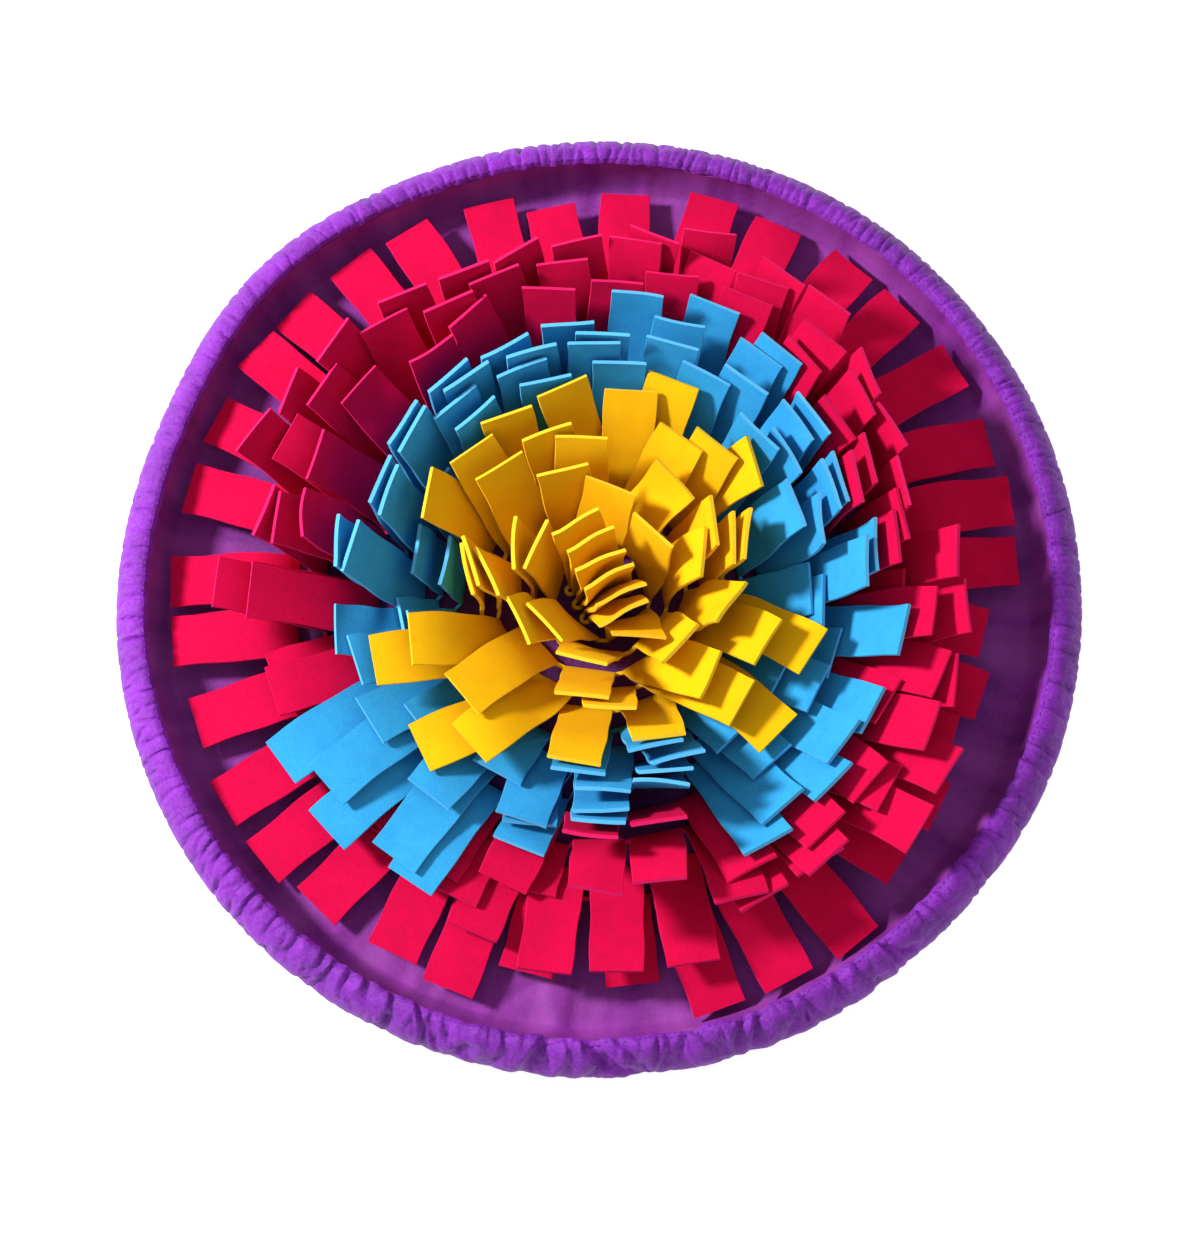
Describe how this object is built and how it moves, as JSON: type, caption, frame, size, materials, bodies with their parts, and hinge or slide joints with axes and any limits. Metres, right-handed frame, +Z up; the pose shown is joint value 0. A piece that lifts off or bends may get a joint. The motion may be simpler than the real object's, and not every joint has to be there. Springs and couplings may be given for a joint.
{
  "type": "snuffle mat",
  "caption": "Round cloth snuffle mat: a purple tray with a gathered casing round its edge, filled with concentric rows of crimson, blue and yellow felt tabs that hide treats.",
  "frame": {"origin": "middle of the tray's underside, where it rests on the floor", "axes": "+Z up, out of the tray; -Y towards the viewer of the front, +X to the viewer's right"},
  "size_m": [0.4619, 0.4611, 0.0757],
  "materials": {
    "tray_cloth": "satin",
    "casing_cloth": "satin",
    "crimson_felt": "matte",
    "blue_felt": "matte",
    "yellow_felt": "matte"
  },
  "bodies": {
    "root": {"tray_cloth": "tray_cloth", "gathered_casing": "casing_cloth", "crimson_1_fringe": "crimson_felt", "crimson_2_fringe": "crimson_felt", "crimson_3_fringe": "crimson_felt", "crimson_4_fringe": "crimson_felt", "blue_1_fringe": "blue_felt", "blue_2_fringe": "blue_felt", "blue_3_fringe": "blue_felt", "blue_4_fringe": "blue_felt", "yellow_1_fringe": "yellow_felt", "yellow_2_fringe": "yellow_felt", "yellow_3_fringe": "yellow_felt", "yellow_4_fringe": "yellow_felt", "yellow_5_fringe": "yellow_felt", "yellow_6_fringe": "yellow_felt"}
  },
  "joints": []
}
